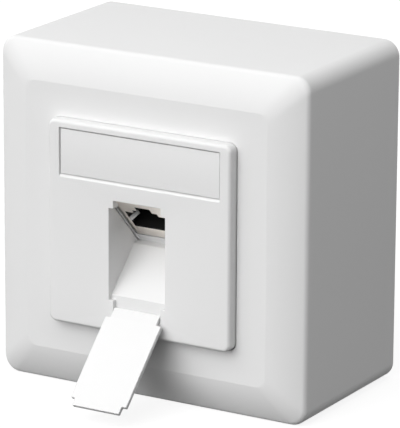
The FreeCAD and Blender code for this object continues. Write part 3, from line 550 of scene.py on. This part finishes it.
@dataclass
class Hood:
    """One-piece hood: a closed profile carried round a rounded square."""

    finish: Material
    half: float = 40.0 * MM  # half of the outer side
    straight: float = 40.8 * MM  # depth of the straight side walls
    wall: float = 2.0 * MM  # wall thickness
    edge_r: float = 3.8 * MM  # radius of the four long edges
    rim_r: float = 0.3 * MM  # rounding of the rear rim
    shoulder_r: float = 1.7 * MM  # radius of the tight arc beside the side walls
    shoulder_end: float = 30.0  # slope in degrees where that arc meets the bevel
    bevel_end: float = 10.0  # slope in degrees of the bevel at the crease
    crease_half: float = 31.4 * MM  # half of the square inside the crease
    crease_r: float = 2.5 * MM  # corner radius of the crease
    dish: float = 0.03 * MM  # depth of the ring's valley behind the crease
    collar: float = 4.6 * MM  # width of the concave rise
    rise: float = 0.07 * MM  # height of the concave rise
    rise_power: float = 3.2  # power of the width that the rise follows
    opening_half: float = 23.9 * MM  # half of the opening
    opening_r: float = 1.92 * MM  # corner radius of the opening
    lip_r: float = 0.15 * MM  # rounding of the opening's edge
    skirt_wall: float = 1.4 * MM  # thickness of the skirt round the opening
    skirt_depth: float = 1.8 * MM  # length of the skirt behind the front wall
    shoulder_steps: int = 13  # chords across the shoulder
    bevel_steps: int = 15  # chords across the bevel
    ring_steps: int = 8  # chords across the ring
    collar_steps: int = 16  # chords across the collar

    def profile(self) -> np.ndarray:
        """Half side, y and corner radius along the closed profile.

        The shoulder is an arc: half - r * (1 - cos t), y - r * sin t, up to its end slope. The bevel is
        an arc of radius R = width / (sin of its first slope - sin of its last). The dish is half a sine
        wave, and the collar rises with a power of its width. The corner radius changes evenly with the
        half side, from the edge to the crease and from there to the opening.

        Returns:
            Rows of (half side, y, corner radius).
        """
        first, last = math.radians(self.shoulder_end), math.radians(self.bevel_end)
        turn = np.linspace(0, np.pi / 2 - first, self.shoulder_steps + 1)
        shoulder = np.column_stack([self.half - self.shoulder_r * (1 - np.cos(turn)),
                                    -self.straight - self.shoulder_r * np.sin(turn)])
        radius = (shoulder[-1, 0] - self.crease_half) / (math.sin(first) - math.sin(last))
        slope = np.linspace(first, last, self.bevel_steps + 1)[1:]
        bevel = shoulder[-1] - radius * np.column_stack([math.sin(first) - np.sin(slope),
                                                         np.cos(slope) - math.cos(first)])
        flat_y = bevel[-1, 1]
        foot, edge = self.opening_half + self.collar, self.opening_half + self.lip_r
        share = np.linspace(0, 1, self.ring_steps + 1)[1:]
        ring = np.column_stack([self.crease_half + (foot - self.crease_half) * share,
                                flat_y + self.dish * np.sin(np.pi / 2 * share)])
        share = np.linspace(0, 1, self.collar_steps + 1)[1:]
        collar = np.column_stack([foot + (edge - foot) * share,
                                  flat_y + self.dish * (1 - share) - self.rise * share ** self.rise_power])
        lip = [self.opening_half, collar[-1, 1]] + rounding(self.lip_r)[1:]
        behind = flat_y + self.wall
        skirt_end = behind + self.skirt_depth
        skirt, cavity = self.opening_half + self.skirt_wall, self.half - self.wall
        back = [[self.opening_half, skirt_end], [skirt, skirt_end], [skirt, behind],
                [self.crease_half, behind], [cavity, -self.straight + self.wall / 2], [cavity, 0.0]]
        rim = [self.half, 0.0] - rounding(self.rim_r)
        path = np.concatenate([rim, shoulder, bevel, ring, collar, lip, back])
        places = [self.opening_half, self.crease_half, self.half]
        corner = np.interp(path[:, 0], places, [self.opening_r, self.crease_r, self.edge_r])
        return np.column_stack([path, corner])

    def build(self) -> None:
        """Makes the hood."""
        skin = Skin()
        skin.wall([(rounded_rectangle(half, half, radius), y) for half, y, radius in self.profile()], True)
        skin.build("hood", "housing_plastic", self.finish, "surface_housing")


@dataclass
class CentrePlate:
    """Centre plate with its label recess, port and chute."""

    finish: Material
    half: Lengths = mm(23.75, 23.785)  # half width and half height
    middle: Lengths = mm(-0.05, 0.085)  # X and Z of its middle
    front: float = -47.893 * MM  # Y of its face
    thick: float = 2.2 * MM  # thickness of the plate
    rim_depth: float = 5.2 * MM
    rim_wall: float = 1.5 * MM
    cavity_r: float = 0.9 * MM  # corner radius inside the rim
    edge_r: float = 0.8 * MM  # rounding of the outer edge
    corner_r: float = 1.8 * MM  # corner radius in front view
    label_x: float = 0.12 * MM  # middle of the label recess
    label_half: float = 20.8 * MM  # half width of the label recess
    label_z: Lengths = mm(11.3, 22.04)  # bottom and top of the label recess
    label_r: float = 0.15 * MM  # corner radius of the label recess
    label_depth: float = 1.3 * MM  # depth of the recess
    label_chamfer: float = 0.6 * MM  # chamfer along its lower edge
    port_x: float = -0.33 * MM  # middle of the port
    port_half: float = 7.35 * MM  # half width of the port
    notch_half: float = 6.2 * MM  # half width of the port's top notch and the tongue's seat
    port_z: Lengths = mm(-16.3, 5.2, 7.05)  # bottom, shoulder and top of the port
    port_r: float = 0.2 * MM  # corner radius of the port
    sill_y: float = -46.743 * MM  # Y of the tongue's seat
    ramp_y: float = -37.083 * MM  # Y of the ramp's inner end
    ramp_z: float = -5.65 * MM  # height of the ramp's inner end
    ledge_z: float = -5.4 * MM  # height of the ledge
    ledge_y: float = -34.15 * MM  # Y of the ledge's inner end
    chute_wall: float = 1.3 * MM  # thickness of the chute's walls
    chute_skin: float = 0.3 * MM  # thickness of the walls' inner layer, which reaches deeper
    chute_end: Lengths = mm(-41.044, -40.66)  # y + z where the walls' two layers end, the outer one first
    hinge: Lengths = mm(-47.393, -18.44)  # (y, z) of the flap's axis
    seat_r: float = 0.62 * MM  # radius of the barrel's seat
    seat_steps: int = 6  # chords across the seat
    lip_r: float = 0.15 * MM  # rounding of the port's edge

    def stop_z(self) -> float:
        """Height at which the flap's open stop leaves the plate's face: the stop lies at 45 degrees."""
        step = self.seat_r / math.sqrt(2)
        return self.hinge[1] - step - (self.hinge[0] + step - self.front)

    def port(self) -> SteppedOutline:
        """Stepped outline of the port, with the tongue's seat below."""
        halves = (self.notch_half, self.port_half, self.notch_half)
        return SteppedOutline(halves, (self.stop_z(), *self.port_z), self.port_r, self.port_x)

    def label_loop(self, grow: float = 0.0, below: float = 0.0, shift: float = 0.0) -> np.ndarray:
        """Loop of the label recess, moved.

        Args:
            grow: Distance outwards at its top and sides.
            below: Distance outwards at its bottom.
            shift: Distance to the right.

        Returns:
            Points (x, z).
        """
        low, high = self.label_z[0] - below, self.label_z[1] + grow
        radius = self.label_r + max(grow, 0.0)
        middle = (self.label_x + shift, (low + high) / 2)
        return rounded_rectangle(self.label_half + grow, (high - low) / 2, radius, middle, 6)

    def shell(self, skin: Skin) -> None:
        """Adds the plate's shell with its two openings.

        Args:
            skin: The skin that gets the patches.
        """
        face_y, back_y = self.front, self.front + self.thick
        rim_y, floor_y = self.front + self.rim_depth, self.front + self.label_depth
        half_x, half_z = self.half
        edge = [(rounded_rectangle(half_x - inset, half_z - inset, self.corner_r - inset, self.middle),
                 face_y + depth) for inset, depth in rounding(self.edge_r, 12)]
        side = edge[-1][0]
        inner = min(self.half) - self.rim_wall
        cavity = rounded_rectangle(inner, inner, self.cavity_r)
        skin.wall([*edge, (side, rim_y), (cavity, rim_y), (cavity, back_y)])
        port = self.port()
        lip = [(port.points(inset), face_y + depth) for inset, depth in rounding(self.lip_r)]
        skin.wall([*lip, (port.points(), back_y)])
        label, foot = self.label_loop(self.lip_r, self.label_chamfer), self.label_loop()
        skin.wall([(label, face_y), (foot, face_y + self.label_chamfer), (foot, floor_y)])
        skin.lid([foot], floor_y)
        skin.lid([edge[0][0], lip[0][0], label], face_y)
        skin.lid([cavity, port.points()], back_y)

    def chute(self, skin: Skin) -> None:
        """Adds the side walls, ramp, ledge and seat behind the port.

        Args:
            skin: The skin that gets the patches.
        """
        wall, start, sill_y = self.chute_wall, self.front + self.thick, self.sill_y
        sill_z = self.ramp_z - (self.ramp_y - sill_y)
        low = sill_z - 2 * wall
        under = [(self.ramp_y + wall / 2, self.ledge_z - wall), (self.ledge_y, self.ledge_z - wall),
                 (self.ledge_y, self.ledge_z)]
        outer_end, inner_end = self.chute_end
        for inner, outer, end in ((0.0, self.chute_skin, inner_end), (self.chute_skin / 2, wall, outer_end)):
            section = [(start, end - start), (start, low), (start + wall, low), *under,
                       (end - self.ledge_z, self.ledge_z)]
            for side in Side:
                skin.prism(section, side.span(self.port_half + inner, self.port_half + outer), self.port_x)
        half = self.port_half + wall / 2
        skin.prism([(sill_y, sill_z), (sill_y + wall, sill_z - wall), *under, (self.ramp_y, self.ramp_z)],
                   (-half, half), self.port_x)
        y, z = self.hinge
        seat = [(y + self.seat_r * math.cos(a), z - self.seat_r * math.sin(a))
                for a in np.linspace(0, np.pi / 4, self.seat_steps + 1)]
        half += wall / 8  # so that the seat shares no edge with the ramp
        foot, lip_y = self.stop_z(), self.front + self.lip_r
        skin.prism([(start, low), (start, sill_z - wall), (sill_y, sill_z), (sill_y, z), *seat,
                    (lip_y, foot + self.lip_r), (lip_y, foot - wall), (start, foot - wall)],
                   (-half, half), self.port_x)

    def build(self) -> None:
        """Makes the centre plate."""
        skin = Skin()
        self.shell(skin)
        self.chute(skin)
        skin.build("centre_plate_shell", "plate_plastic", self.finish, "centre_plate")


@dataclass
class LabelCover:
    """Cover of the label field, sunk a little below the plate's face and hollow over its strip."""

    finish: Material
    plate: CentrePlate  # the plate whose recess it fills
    gap: float = 0.15 * MM  # gap all round
    shift: float = 0.04 * MM  # play to the right
    sink: float = 0.25 * MM  # depth of its face below the plate's face
    thick: float = 0.7 * MM  # thickness over the strip
    margin: float = 0.85 * MM  # width of its frame round the strip
    edge_r: float = 0.06 * MM  # rounding of its edges

    def loop(self, inset: float) -> np.ndarray:
        """Outline of the cover, drawn in from its recess by an inset."""
        return self.plate.label_loop(-inset, -inset, self.shift)

    def build(self) -> None:
        """Makes the cover."""
        front = self.plate.front + self.sink
        back, hollow_y = self.plate.front + self.plate.label_depth, front + self.thick
        edge = [(self.loop(self.gap + inset), front + depth) for inset, depth in rounding(self.edge_r, 5)]
        hollow = self.loop(self.margin)
        skin = Skin()
        skin.wall([*edge, (edge[-1][0], back), (hollow, back), (hollow, hollow_y)])
        skin.lid([edge[0][0]], front)
        skin.lid([hollow], hollow_y)
        skin.build("label_window", "cover_plastic", self.finish, "label_cover")


@dataclass
class DustFlap:
    """Flap with a tongue, a narrow tip, a barrel and two pins, drawn shut and turned open."""

    finish: Material
    plate: CentrePlate  # the plate that it closes and whose hinge holds it
    thick: float = 1.0 * MM
    halves: Lengths = mm(6.0, 7.27, 6.12)  # half widths of its tongue, body and tip
    heights: Lengths = mm(-16.15, 4.8, 6.65)  # bottom and top of its body and top of its tip when shut
    corner_r: float = 0.25 * MM  # radius of its corners
    barrel_r: float = 0.5 * MM
    barrel_steps: int = 48
    pin_r: float = 0.3 * MM
    pin_root: float = 0.2 * MM  # length of a pin inside the tongue
    pin_end: float = 7.1 * MM  # half length over the pins
    round_r: float = 0.1 * MM  # rounding at the ends of the barrel and the pins
    edge_r: float = 0.12 * MM  # rounding of its edges
    opened: float = 135.0  # angle in degrees from shut to open

    def build(self) -> None:
        """Makes the flap: its edges are quarter circles between the two faces."""
        hinge, middle, tongue = self.plate.hinge, self.plate.port_x, self.halves[0]
        outline = SteppedOutline(self.halves, (hinge[1], *self.heights), self.corner_r, middle)
        front, back = self.plate.front, self.plate.front + self.thick
        edge = rounding(self.edge_r)
        rows = [(outline.points(-inset), front + depth) for inset, depth in edge]
        rows += [(outline.points(-inset), back - depth) for inset, depth in edge[::-1]]
        skin = Skin()
        skin.wall(rows)
        skin.lid([rows[0][0]], front)
        skin.lid([rows[-1][0]], back)
        skin.barrel(self.barrel_r, (-tongue, tongue), hinge, self.round_r, middle, self.barrel_steps)
        for side in Side:
            pin = side.span(tongue - self.pin_root, self.pin_end)
            skin.barrel(self.pin_r, pin, hinge, self.round_r, middle)
        pivot = Matrix.Translation((0, *hinge))
        swing = pivot @ Matrix.Rotation(math.radians(self.opened), 4, "X") @ pivot.inverted()
        skin.build("flap_moulding", "flap_plastic", self.finish, "dust_flap", body="flap", place=swing)


@dataclass
class Jack:
    """The jack's casting, its two sprung fingers and the holder round it.

    The shapes are drawn in the jack's own frame, in which Y is the depth behind its face and Z its
    height, and are then tilted into the port. The ears are drawn in place.
    """

    metal: Material  # finish of the casting
    spring: Material  # finish of the fingers
    plastic: Material  # finish of the holder
    plate: CentrePlate  # the plate in whose port it sits, the top of its face at the port's top
    face_y: float = -46.963 * MM  # Y of that point in the outlet
    tilt: float = 45.0  # tilt in degrees
    shift: float = 0.13 * MM  # play to the right in the holder
    nose_half: float = 6.8 * MM  # half width of the nose
    nose_z: Lengths = mm(-14.7, -0.5)  # bottom and top of the nose
    nose_depth: float = 9.0 * MM
    body_half: float = 7.05 * MM  # half width of the body
    body_z: Lengths = mm(-15.2, -0.5)  # bottom and top of the body
    depth: float = 21.0 * MM  # depth of the whole casting
    wall: float = 0.75 * MM  # thickness of its walls
    corner_r: float = 0.3 * MM  # corner radius of the nose and the body
    edge_r: float = 0.15 * MM  # rounding of the nose
    rim: float = 0.05 * MM  # thickness of the face at the opening's edge
    opening_half: Lengths = mm(5.88, 3.25, 2.0)  # half widths of the plug's space, its step and the slot
    opening_z: Lengths = mm(-11.2, -4.8, -3.65, -2.0)  # bottom of the opening and the tops of those three
    opening_r: float = 0.15 * MM  # corner radius of the opening
    slot_shift: float = -0.25 * MM  # X of the middle of the step and the slot from the opening's middle
    finger_width: float = 1.38 * MM
    finger_z: float = -8.25 * MM  # height of a finger's middle
    finger_length: float = 2.6 * MM
    finger_thick: float = 0.25 * MM
    finger_lean: float = 30.0  # angle in degrees by which it leans into the plug's space
    finger_groove: float = 0.07 * MM  # depth of the groove along it
    finger_steps: int = 24  # chords across it
    guide_x: Lengths = mm(7.35, 7.75)  # inner and outer X of a guide
    guide_depth: Lengths = mm(-0.11, 0.15)  # front and back of a guide
    guide_z: Lengths = mm(-17.5, -1.9)  # bottom and top of a guide
    lead: float = 0.08 * MM  # chamfer of a guide, and play at the ends of its bridge and the upper bar
    bridge_lap: float = 0.32 * MM  # length over which a bridge overlaps its guide
    cheek_x: Lengths = mm(8.6, 9.5)  # inner and outer X of a cheek
    cheek_depth: Lengths = mm(0.1, 14.0)  # front and back of a cheek
    bar_front: float = 0.1 * MM  # depth of the lower bar's front behind the face
    bar_groove: Lengths = mm(0.2, 0.9, 1.1)  # front, back and depth of the groove in the lower bar's top
    bar_depth: float = 2.4 * MM  # depth of the holder's bars
    bar_z: Lengths = mm(-18.3, -15.35, -0.2, 1.2)  # bottoms and tops of its lower and its upper bar
    ear: Lengths = mm(22.5, -1.0, 8.0)  # reach, bottom and top of its ears, as X and Z in the outlet
    ear_y: Lengths = mm(-37.993, -34.993)  # front and back of the ears
    ear_r: float = 0.5 * MM  # corner radius of the ears
    ear_hole: Lengths = mm(18.3, 1.2)  # X and radius of the ears' screw holes

    def in_port(self) -> Matrix:
        """Turn and shift from the jack's own frame to the outlet's."""
        origin = Matrix.Translation((self.plate.port_x, self.face_y, self.plate.port_z[2]))
        return origin @ Matrix.Rotation(math.radians(self.tilt), 4, "X")

    def opening(self) -> np.ndarray:
        """Stepped outline of the opening."""
        middle = self.shift + self.slot_shift * np.array([0, 1, 1])
        return SteppedOutline(self.opening_half, self.opening_z, self.opening_r, middle, 3).points()

    def section(self, half: float, z_range: Lengths, inset: float = 0.0) -> np.ndarray:
        """Rounded section of the casting between two heights, drawn in by an inset."""
        half_z, middle = (z_range[1] - z_range[0]) / 2 - inset, (self.shift, sum(z_range) / 2)
        return rounded_rectangle(half - inset, half_z, self.corner_r, middle, 6)

    def casting(self) -> None:
        """Makes the casting: a thin-edged face on a nose, and a body open at the back."""
        nose = [(self.section(self.nose_half, self.nose_z, inset), depth)
                for inset, depth in rounding(self.edge_r, 5)]
        outer, inner = (self.section(self.body_half, self.body_z, inset) for inset in (0.0, self.wall))
        edge = self.opening()
        skin = Skin()
        skin.wall([*nose, (nose[-1][0], self.nose_depth), (outer, self.nose_depth), (outer, self.depth),
                   (inner, self.depth), (inner, self.rim)])
        skin.wall([(edge, 0.0), (edge, self.rim)])
        skin.lid([nose[0][0], edge], 0.0)
        skin.lid([inner, edge], self.rim)
        skin.build("jack_casting", "nickel_casting", self.metal, "jack_housing", sharp=25.0,
                   place=self.in_port())

    def finger(self, side: Side) -> None:
        """Makes one sprung finger: a strip with a shallow groove, leaning into the plug's space.

        The front of the strip's section lies at groove * cos(pi z / width) ** 2 behind its edges.

        Args:
            side: The side it springs from.
        """
        z = self.finger_width * np.linspace(-0.5, 0.5, self.finger_steps + 1)
        dent = self.finger_groove * np.cos(np.pi * z / self.finger_width) ** 2
        strip = [np.column_stack([dent, z]), np.column_stack([dent + self.finger_thick, z])[::-1]]
        skin = Skin()
        skin.prism(np.concatenate(strip), side.span(0.0, -self.finger_length))
        name = side.name.lower()
        root = Matrix.Translation((side.value * self.opening_half[0] + self.shift, self.rim, self.finger_z))
        turn = Matrix.Rotation(-side.value * math.radians(90.0 - self.finger_lean), 4, "Z")
        skin.build("sprung_finger_" + name, "spring_steel", self.spring, "shield_spring_" + name,
                   sharp=30.0, place=self.in_port() @ root @ turn)

    def bracket(self) -> None:
        """Makes the holder's cheeks, its guides flush with the chute and its two bars."""
        skin = Skin()
        guide_in, guide_out = self.guide_x
        inner, outer = self.cheek_x
        front, joint = self.guide_depth
        cheek, back = self.cheek_depth
        low, high = self.guide_z
        bar_low, bar_top, top_low, top_high = self.bar_z
        lead, bar_front, bar_back = self.lead, self.bar_front, self.bar_depth
        chamfered, rear = front + lead, back - self.bar_depth
        rib = [(chamfered, low), (joint, low), (joint, high), (chamfered, high), (front, high - lead),
               (front, low + lead)]
        bridge_low, bridge_high = high - self.bridge_lap, high + lead
        bridge = [(chamfered, bridge_low), (joint, bridge_low), (joint, bridge_high),
                  (chamfered, bridge_high)]
        wall = [(cheek, low), (back, low), (back, top_high), (rear, top_high), (rear, high), (cheek, high)]
        for side in Side:
            skin.prism(rib, side.span(guide_in, guide_out))
            skin.prism(bridge, side.span(guide_in + lead, outer - lead))
            skin.prism(wall, side.span(inner, outer))
        groove_front, groove_back, groove_depth = self.bar_groove
        floor = bar_top - groove_depth
        skin.prism([(bar_front, bar_low), (bar_back, bar_low), (bar_back, bar_top), (groove_back, bar_top),
                    (groove_back, floor), (groove_front, floor), (groove_front, bar_top),
                    (bar_front, bar_top)], (-outer, outer))
        skin.prism([(rear, top_low), (back, top_low), (back, top_high), (rear, top_high)],
                   (lead - outer, outer - lead))
        skin.build("jack_holder", "holder_plastic", self.plastic, place=self.in_port())

    def ears(self) -> None:
        """Makes the holder's two ears with their screw holes."""
        skin = Skin()
        inner = self.cheek_x[0]
        reach, low, high = self.ear
        place, radius = self.ear_hole
        for side in Side:
            middle, hole_at = ((side.value * x, (low + high) / 2) for x in ((reach + inner) / 2, place))
            ear = rounded_rectangle((reach - inner) / 2, (high - low) / 2, self.ear_r, middle)
            hole = rounded_rectangle(radius, radius, radius, hole_at)
            for loop in (ear, hole):
                skin.wall([(loop, y) for y in self.ear_y])
            for y in self.ear_y:
                skin.lid([ear, hole], y)
        skin.build("holder_ears", "holder_plastic", self.plastic, "module_holder")

    def build(self) -> None:
        """Makes both fingers, the casting and the holder."""
        for side in Side:
            self.finger(side)
        self.casting()
        self.bracket()
        self.ears()


@dataclass
class Fittings:
    """CAD nodes that keep their solids, each with its finish."""

    finishes: dict[str, Material]  # material of each node by the node's name

    def dress(self) -> None:
        """Gives each node its material in place of its own."""
        for name, material in self.finishes.items():
            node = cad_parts[name]
            node.data.materials.clear()
            node.data.materials.append(material)
            LOG.info("%s: solid kept, finish %s", name, material.name)


# --- The studio


def towards(azimuth: float, elevation: float) -> Vector:
    """Unit vector towards an azimuth, to the right of the front, and an elevation, both in degrees."""
    a, e = math.radians(azimuth), math.radians(elevation)
    return Vector((math.sin(a) * math.cos(e), -math.cos(a) * math.cos(e), math.sin(e)))


@dataclass
class Studio:
    """Camera, lamps, floor and surroundings."""

    camera_at: Lengths = (0.41974, -0.73211, 0.23482)
    azimuth: float = 30.539  # angle of the view round the object, to its right, in degrees
    elevation: float = 15.973  # angle above the horizon in degrees
    roll: float = 0.311  # turn about the line of sight in degrees
    lens: float = 315.29  # focal length in millimetres for the sensor
    sensor: float = 36.0  # width of the sensor in millimetres
    clip: Lengths = (0.01, 50.0)  # nearest and furthest distance that the camera sees
    # name, elevation, azimuth to the right (both in degrees) and strength of each light
    soft_lights: tuple[tuple[str, float, float, float], ...] = (
        ("low", 5.0, -12.0, 0.72), ("middle", 30.0, -12.0, 0.78), ("high", 62.0, -12.0, 0.68),
        ("left", 30.0, -35.0, 0.65), ("right", 30.0, 10.0, 0.32))
    light_size: float = 50.0  # angular size of each light in degrees
    sky_strength: float = 0.64  # strength of the even light from all round
    floor_z: float = -40.0 * MM
    floor_reach: float = 6.0  # half of the floor's side
    floor_shade: float = 0.04  # linear grey of the floor as it lights the outlet
    floor_paint: float = 0.8  # linear grey of the floor as the camera sees it
    shadow_share: float = 0.25  # share of the floor's own shading that the camera sees
    floor_white: float = 0.85  # light of its own that the camera sees over that

    def camera(self) -> None:
        """Makes the camera from its angles: right, up and back are its own axes."""
        back, right = towards(self.azimuth, self.elevation), towards(self.azimuth + 90.0, 0.0)
        axes = Matrix((right, back.cross(right), back)).transposed().to_4x4()
        data = bpy.data.cameras.new("camera")
        data.lens, data.sensor_width = self.lens, self.sensor
        data.clip_start, data.clip_end = self.clip
        camera = placed("camera", data)
        roll = Matrix.Rotation(math.radians(self.roll), 4, "Z")
        camera.matrix_world = Matrix.Translation(self.camera_at) @ axes @ roll
        bpy.context.scene.camera = camera

    def lamps(self) -> None:
        """Makes the soft lights in front of the outlet."""
        for name, elevation, azimuth, strength in self.soft_lights:
            data = bpy.data.lights.new(name, "SUN")
            data.energy = strength
            data.angle = math.radians(self.light_size)
            lamp = placed(name, data)
            lamp.rotation_mode = "QUATERNION"
            lamp.rotation_quaternion = towards(azimuth, elevation).to_track_quat("Z", "Y")

    def surroundings(self) -> None:
        """Even world light, white where the camera, a mirror or glass looks at it."""
        world = bpy.data.worlds.new("studio")
        bpy.context.scene.world = world
        sheet = NodeSheet(world)
        light, white = (sheet.node("ShaderNodeBackground", {}, {"Color": grey(1.0), "Strength": strength})
                        for strength in (self.sky_strength, 1.0))
        sheet.finish("ShaderNodeMixShader", {0: sheet.seen(), 1: light, 2: white})

    def floor(self) -> None:
        """Pale floor that keeps the outlet's shadow and is lifted to white where it is lit."""
        mesh = bpy.data.meshes.new("floor")
        signs = ((-1, -1), (1, -1), (1, 1), (-1, 1))
        mesh.from_pydata([(x * self.floor_reach, y * self.floor_reach, self.floor_z) for x, y in signs], [],
                         [(0, 1, 2, 3)])
        sheet = NodeSheet(bpy.data.materials.new("floor_paint"))
        seen = sheet.seen()
        shade = sheet.mix(seen, grey(self.floor_shade), grey(self.floor_paint))
        paint = sheet.node("ShaderNodeBsdfDiffuse", {}, {"Color": shade, "Roughness": 0.0})
        cover = 1 - self.shadow_share
        inputs = {"Color": grey(1.0), "Strength": self.floor_white / cover}
        white = sheet.node("ShaderNodeEmission", {}, inputs)
        mesh.materials.append(sheet.finish("ShaderNodeMixShader", {0: seen * cover, 1: paint, 2: white}))
        placed("floor", mesh)

    def build(self) -> None:
        """Sets up the whole studio."""
        self.camera()
        self.lamps()
        self.surroundings()
        self.floor()
        bpy.context.scene.view_settings.view_transform = "Standard"


def main() -> None:
    """Builds the studio and the pieces in order."""
    logging.basicConfig(level=logging.INFO, format="%(message)s")
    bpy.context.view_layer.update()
    Studio().build()
    white = 0.705
    plate = CentrePlate(MouldedPlastic("plate_plastic", white).material())
    Hood(MouldedPlastic("housing_plastic", white).material()).build()
    plate.build()
    LabelCover(MouldedPlastic("cover_plastic", white).material(), plate).build()
    DustFlap(MouldedPlastic("flap_plastic", white).material(), plate).build()
    nickel = PlatedMetal("nickel_casting", (0.98, 0.93, 0.865, 1.0), roughness=0.32).material()
    spring = PlatedMetal("spring_steel", grey(0.65)).material()
    # The holder's plastic is whiter than the other white mouldings: painted light that lightens its bars and
    # guides, which sit deep in the port's shade.
    Jack(nickel, spring, MouldedPlastic("holder_plastic", 0.88).material(), plate).build()
    steel = PlatedMetal("screw_steel", grey(0.5)).material()
    black = MouldedPlastic("black_plastic", 0.006, roughness=0.5).material()
    Fittings({
        "base_plate": MouldedPlastic("base_plastic", 0.72).material(),
        "carrier_frame": PlatedMetal("zinc_plated_steel", grey(0.5)).material(),
        "carrier_screws": steel, "plate_screws": steel, "holder_screws": steel, "clamp_screws": steel,
        "label_strip": Paper("label_paper", 0.85).material(),
        "rear_cap": nickel, "cable_clamp": nickel,
        "contact_insert": black, "terminal_block_lower": black, "terminal_block_upper": black,
        "contact_wires": PlatedMetal("contact_gold", (0.75, 0.5, 0.14, 1.0), roughness=0.25).material(),
        "circuit_board": MouldedPlastic("board_laminate", 0.03).material(),
        "idc_contacts": PlatedMetal("contact_tin", grey(0.6), roughness=0.35).material(),
    }).dress()


if __name__ == "__main__":
    main()
